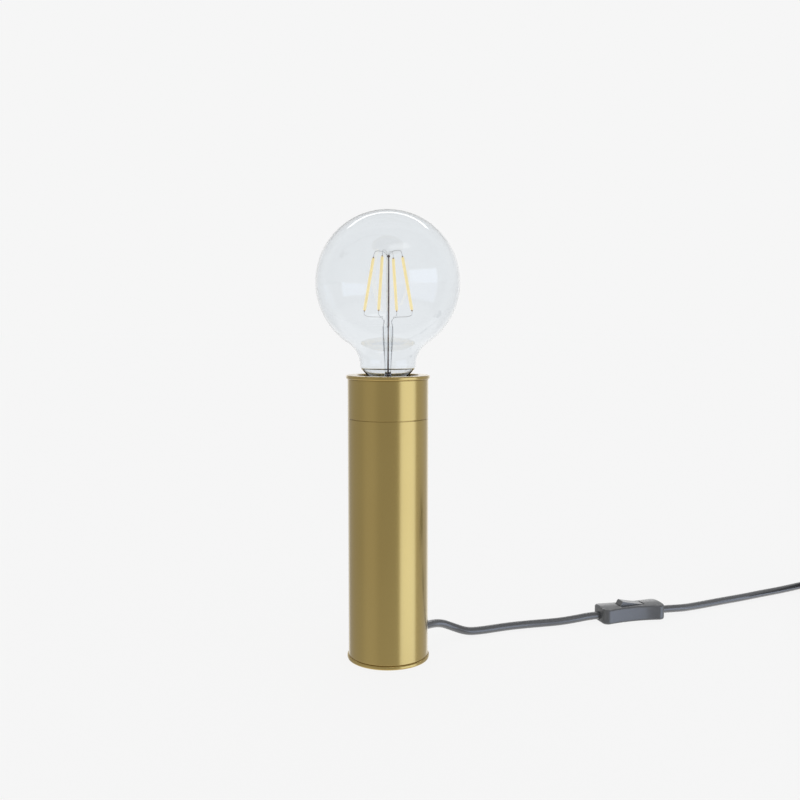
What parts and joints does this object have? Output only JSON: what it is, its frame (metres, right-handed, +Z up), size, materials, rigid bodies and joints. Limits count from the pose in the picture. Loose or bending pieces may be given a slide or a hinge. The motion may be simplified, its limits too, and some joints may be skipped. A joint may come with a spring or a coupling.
{
  "type": "bare bulb table lamp",
  "caption": "Table lamp: plain brass tube on a thin base flange, clear filament globe bulb standing in its sunk lampholder, mains lead with rocker switch and flat plug.",
  "frame": {"origin": "middle of the base where it stands on the table", "axes": "+Z up the lamp, +X to the side where the lead lies, +Y to the back"},
  "size_m": [0.5001, 0.2291, 0.2991],
  "materials": {
    "brass_satin": "satin brushed brass, turned and lacquered",
    "ballast_iron": "dark cast weight",
    "pad_felt": "thin black foot pad",
    "zinc_steel": "zinc plated steel",
    "holder_black": "black moulded lampholder",
    "entry_grey": "dark grey moulded strain relief",
    "lead_grey": "dark grey semi-gloss sheath",
    "core_brown": "brown core insulation",
    "core_blue": "blue core insulation",
    "contact_brass": "bare brass contacts and terminals",
    "shell_metal": "nickel plated brass screw shell",
    "clear_glass": "clear blown glass",
    "filament_yellow": "yellow phosphor coating over a light filament",
    "bulb_wire": "nickel wire",
    "cap_metal": "nickel finish screw cap",
    "cap_black": "black insulator of the cap",
    "board_green": "driver board with its parts",
    "switch_grey": "dark grey moulded switch and plug",
    "pin_metal": "nickel plated pins",
    "tie_fabric": "black hook and loop tie"
  },
  "bodies": {
    "lamp": {"foot_pad": "pad_felt", "base_flange": "brass_satin", "ballast_weight": "ballast_iron", "lower_tube": "brass_satin", "coupler_sleeve": "brass_satin", "upper_collar": "brass_satin", "top_rim": "brass_satin", "threaded_rod": "zinc_steel", "rod_nuts": "zinc_steel", "rod_washer": "zinc_steel", "exit_bush": "entry_grey", "crimp_ring": "zinc_steel", "inner_lead": "lead_grey", "live_core": "core_brown", "neutral_core": "core_blue", "holder_base": "holder_black", "terminal_block": "holder_black", "live_terminal": "contact_brass", "neutral_terminal": "contact_brass", "terminal_screws": "zinc_steel", "centre_contact": "contact_brass", "side_contact": "contact_brass", "thread_shell": "shell_metal", "holder_sleeve": "holder_black", "holder_ring": "holder_black", "switch_base": "switch_grey", "switch_cover": "switch_grey", "rocker_pin": "zinc_steel", "fixed_contacts": "contact_brass", "cord_anchors": "zinc_steel", "anchor_screws": "zinc_steel", "housing_screws": "zinc_steel", "switch_wires": "core_brown", "switch_lead_ends": "lead_grey", "plug_boot": "switch_grey", "plug_body": "switch_grey", "plug_pins": "pin_metal", "plug_sleeves": "switch_grey", "cord_lamp_to_switch": "lead_grey", "cord_coil": "lead_grey", "coil_tie": "tie_fabric", "cord_switch_to_coil": "lead_grey", "cord_coil_to_plug": "lead_grey"},
    "rocker": {"switch_rocker": "switch_grey"},
    "seesaw": {"seesaw_contact": "contact_brass"},
    "bulb_eyelet": {"cap_contact": "contact_brass", "cap_insulator": "cap_black"},
    "bulb": {"bulb_glass": "clear_glass", "stem_glass": "clear_glass", "support_rod": "clear_glass", "filament_left": "filament_yellow", "filament_front": "filament_yellow", "filament_back": "filament_yellow", "filament_right": "filament_yellow", "top_wires": "bulb_wire", "lead_wires": "bulb_wire", "bulb_cap": "cap_metal", "driver_board": "board_green"}
  },
  "joints": [
    {"name": "rocker_press", "type": "hinge", "parent": "lamp", "child": "rocker", "pos_m": [0.1834, 0.0805, 0.0082], "axis": [0.2706, -0.9627, 0], "range_deg": [0, 21]},
    {"name": "seesaw_tilt", "type": "hinge", "parent": "lamp", "child": "seesaw", "pos_m": [0.1834, 0.0805, 0.0034], "axis": [0.2706, -0.9627, 0], "range_deg": [-18, 3]},
    {"name": "bulb_lift", "type": "slide", "parent": "lamp", "child": "bulb_eyelet", "axis": [0, 0, 1], "range_m": [0, 0.01452]},
    {"name": "bulb_turn", "type": "hinge", "parent": "bulb_eyelet", "child": "bulb", "pos_m": [0, 0, 0.18], "axis": [0, 0, 1], "range_deg": [0, 1440]}
  ],
  "couplings": [
    {"joint": "seesaw_tilt", "follows": "rocker_press", "ratio": -0.7142},
    {"joint": "bulb_lift", "follows": "bulb_turn", "m_per_rad": 0.00057757}
  ]
}
